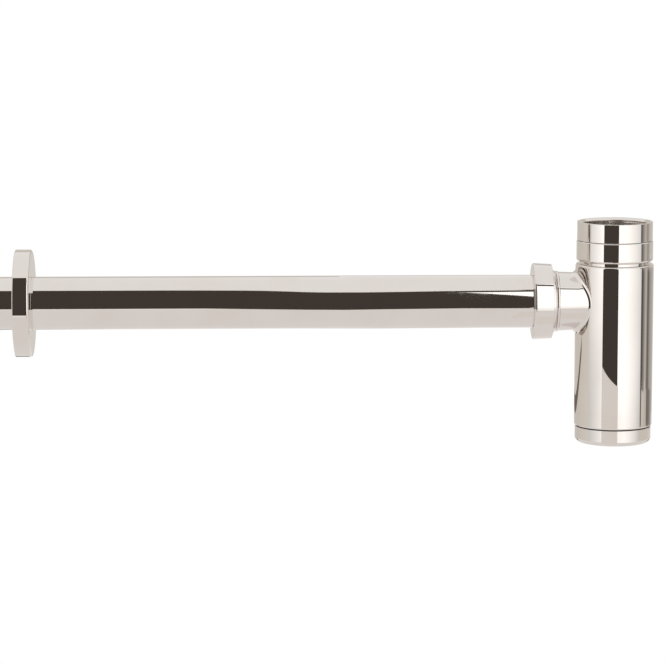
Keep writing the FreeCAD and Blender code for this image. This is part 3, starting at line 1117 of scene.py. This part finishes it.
@dataclass
class ScrewedJoint:
    """What the neck and the outlet share: a threaded spigot of the bottle and the nut that turns on it.

    Fields, in mm: root and crest, the radii of the spigot and of its thread's edge; bore, the nut's radius
    inside; clear, between the spigot and the edge of the nut's thread.
    """

    root: float = 19.475
    crest: float = 20.90
    bore: float = 21.05
    clear: float = 0.275

    def spigot_thread(self, name: str, axis: Axis, low: float, high: float) -> Thread:
        """Returns the spigot's thread, from low to high along its axis."""
        return Thread(name, "trap_body", axis, ThreadForm.SPIGOT, self.root, self.crest, low, high)

    def nut_thread(self, nut: str, axis: Axis, low: float, high: float) -> Thread:
        """Returns a nut's thread, from low to high along its axis."""
        return Thread(f"{nut}_thread", nut, axis, ThreadForm.SPIGOT_NUT, self.bore, self.root + self.clear,
                      low, high, HALF_PITCH)


@dataclass
class NeckJoint(ScrewedJoint):
    """The ring nut with its slip ring and seal, and the thread of the neck in it.

    Fields, in mm: the heights between which the neck's thread and the nut's run.
    """

    neck_low: float = -17.15
    neck_high: float = -10.75
    nut_low: float = -17.5
    nut_high: float = -9.9

    def build(self) -> None:
        """Builds and dresses the joint."""
        dress("ring_nut", Chrome("ring_nut_chrome", inside=self.bore + INSIDE_MARGIN))
        dress("neck_slip_ring", Nylon("neck_slip_ring_nylon"))
        dress("neck_seal", Rubber("neck_seal_rubber"))
        self.spigot_thread("neck_thread", Axis.BOTTLE, self.neck_low, self.neck_high).build()
        self.nut_thread("ring_nut", Axis.BOTTLE, self.nut_low, self.nut_high).build()


@dataclass
class Bottle:
    """The cast bottle and the thread in its foot.

    Fields, in mm: bore, its radius inside; foot_low and foot_high, where the thread runs; thread_depth.
    """

    bore: float = 21.0
    foot_low: float = -117.3
    foot_high: float = -110.6
    thread_depth: float = 0.78

    def build(self) -> None:
        """Builds and dresses the bottle."""
        dress("trap_body", Chrome("trap_body_chrome"))
        Thread("body_foot_thread", "trap_body", Axis.BOTTLE, ThreadForm.BOTTLE_FOOT, self.bore,
               self.bore - self.thread_depth, self.foot_low, self.foot_high, HALF_PITCH).build()


@dataclass
class CleaningCap:
    """The screw cap under the bottle and its washer.

    Fields, in mm: root and crest, the radii of its plug and of the thread's edge; low and high, where the
    thread runs.
    """

    root: float = 19.98
    crest: float = 20.75
    low: float = -117.89
    high: float = -112.41

    def build(self) -> None:
        """Builds and dresses the cap."""
        dress("bottom_cap", Chrome("bottom_cap_chrome"))
        dress("cap_washer", Rubber("cap_washer_rubber"))
        Thread("cap_thread", "bottom_cap", Axis.BOTTLE, ThreadForm.CAP, self.root, self.crest, self.low,
               self.high).build()


@dataclass
class OutletJoint(ScrewedJoint):
    """The outlet nut with its slip ring and seal, and the boss in it with its thread and collar.

    Fields, in mm, with stations counted from the bottle's axis along the pipe: hole and lip, the pipe's hole
    in the nut and the lip round it; near and far, the nut's ends, and the radii there; cone and cone_drop,
    the length and depth of the cone round its outer face; mouth, the hole's chamfer; nut_ease, of its edges;
    boss_low and boss_high, where the boss's thread runs; thread_near and thread_far, how far from the nut's
    near end and from its lip the nut's thread stops; collar_outline, the (radius, station) corners of the
    collar's bead, groove and flare; collar_ease, of its edges.
    """

    hole: float = 16.3
    lip: float = 2.2
    near: float = 38.2
    far: float = 49.5
    near_radius: float = 22.50
    far_radius: float = 23.0
    cone: float = 1.1
    cone_drop: float = 0.24
    mouth: float = 0.6
    nut_ease: float = 0.30
    boss_low: float = 40.5
    boss_high: float = 44.6
    thread_near: float = 0.8
    thread_far: float = 1.7
    collar_outline: tuple[Point, ...] = (
        (17.0, 33.90), (17.95, 34.05), (18.30, 34.45), (18.40, 35.00), (18.28, 35.50), (17.98, 35.85),
        (18.30, 36.15), (18.78, 36.80), (19.05, 37.60), (19.05, 38.60), (17.0, 38.60))
    collar_ease: float = 0.12

    def nut(self) -> Turning:
        """Draws the nut, slightly tapered towards the bottle, with a shallow cone round its outer face.

        Returns:
            The nut.
        """
        shelf = self.far - self.lip
        outline = (
            (self.hole, shelf), (self.bore, shelf), (self.bore, self.near), (self.near_radius, self.near),
            (self.far_radius, self.far - self.cone), (self.far_radius - self.cone_drop, self.far),
            (self.hole + self.mouth, self.far), (self.hole, self.far - self.mouth))
        return Turning("outlet_nut_turned", "outlet_nut", Axis.OUTLET, outline, self.nut_ease,
                       Chrome("outlet_nut_chrome"), "outlet_nut")

    def collar(self) -> Turning:
        """Returns the beaded collar that closes the boss behind the nut."""
        return Turning("boss_collar", "trap_body", Axis.OUTLET, self.collar_outline, self.collar_ease,
                       Chrome("boss_collar_chrome"))

    def build(self) -> None:
        """Builds and dresses the joint."""
        dress("outlet_slip_ring", Nylon("outlet_slip_ring_nylon"))
        dress("outlet_seal", Rubber("outlet_seal_rubber"))
        self.nut().build()
        self.collar().build()
        self.spigot_thread("boss_thread", Axis.OUTLET, self.boss_low, self.boss_high).build()
        self.nut_thread("outlet_nut", Axis.OUTLET, self.near + self.thread_near,
                        self.far - self.lip - self.thread_far).build()


@dataclass
class WasteArm:
    """The outlet pipe, the wall flange on it and the flange's grip ring.

    Fields, in mm, with stations counted from the bottle's axis along the pipe: pipe_inside, the pipe's bore;
    hole, the pipe's hole in the flange; front and back, the flange's ends; radius; rounding, of its front
    edge, and round_steps, the flats of that; rim and face, the walls at its edge and front; hub_radius and
    hub_depth, of the hub round the hole; groove_radius, groove_near and groove_far, the grip ring's groove
    and how far it lies behind the front; ease, of the edges.
    """

    pipe_inside: float = 15.4
    hole: float = 16.3
    front: float = 350.7
    back: float = 360.6
    radius: float = 32.399
    rounding: float = 1.4
    round_steps: int = 8
    rim: float = 1.8
    face: float = 2.6
    hub_radius: float = 20.5
    hub_depth: float = 7.0
    groove_radius: float = 18.5
    groove_near: float = 2.2
    groove_far: float = 4.8
    ease: float = 0.50

    def flange(self) -> Turning:
        """Draws the flange, open at the back, with its rounded front and the groove for its grip ring.

        Returns:
            The flange.
        """
        turns = [math.pi / 2 * step / self.round_steps for step in range(self.round_steps + 1)]
        front_round = tuple((self.radius - self.rounding * (1.0 - math.sin(a)),
                             self.front + self.rounding * (1.0 - math.cos(a))) for a in turns)
        inside, floor, hub_end = self.radius - self.rim, self.front + self.face, self.front + self.hub_depth
        near, far = self.front + self.groove_near, self.front + self.groove_far
        outline = (
            (self.hole, self.front), *front_round, (self.radius, self.back), (inside, self.back),
            (inside, floor), (self.hub_radius, floor), (self.hub_radius, hub_end), (self.hole, hub_end),
            (self.hole, far), (self.groove_radius, far), (self.groove_radius, near), (self.hole, near))
        return Turning("wall_flange_turned", "wall_flange", Axis.OUTLET, outline, self.ease,
                       Chrome("wall_flange_chrome", Axis.OUTLET), "wall_flange")

    def build(self) -> None:
        """Builds and dresses the arm."""
        dress("outlet_pipe", Chrome("outlet_pipe_chrome", Axis.OUTLET, self.pipe_inside))
        self.flange().build()
        dress("flange_grip_ring", Rubber("flange_grip_ring_rubber"))


def main() -> None:
    """Builds the trap's looks, then the studio and the camera."""
    logging.basicConfig(level=logging.INFO, format="%(message)s")
    for part in (InletCoupling(), NeckJoint(), Bottle(), CleaningCap(), OutletJoint(), WasteArm()):
        part.build()
        LOG.info("finished %s", type(part).__name__)
    Studio().build()
    Viewpoint().build()
    bpy.context.scene.view_settings.view_transform = "Standard"
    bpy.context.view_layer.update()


if __name__ == "__main__":
    main()
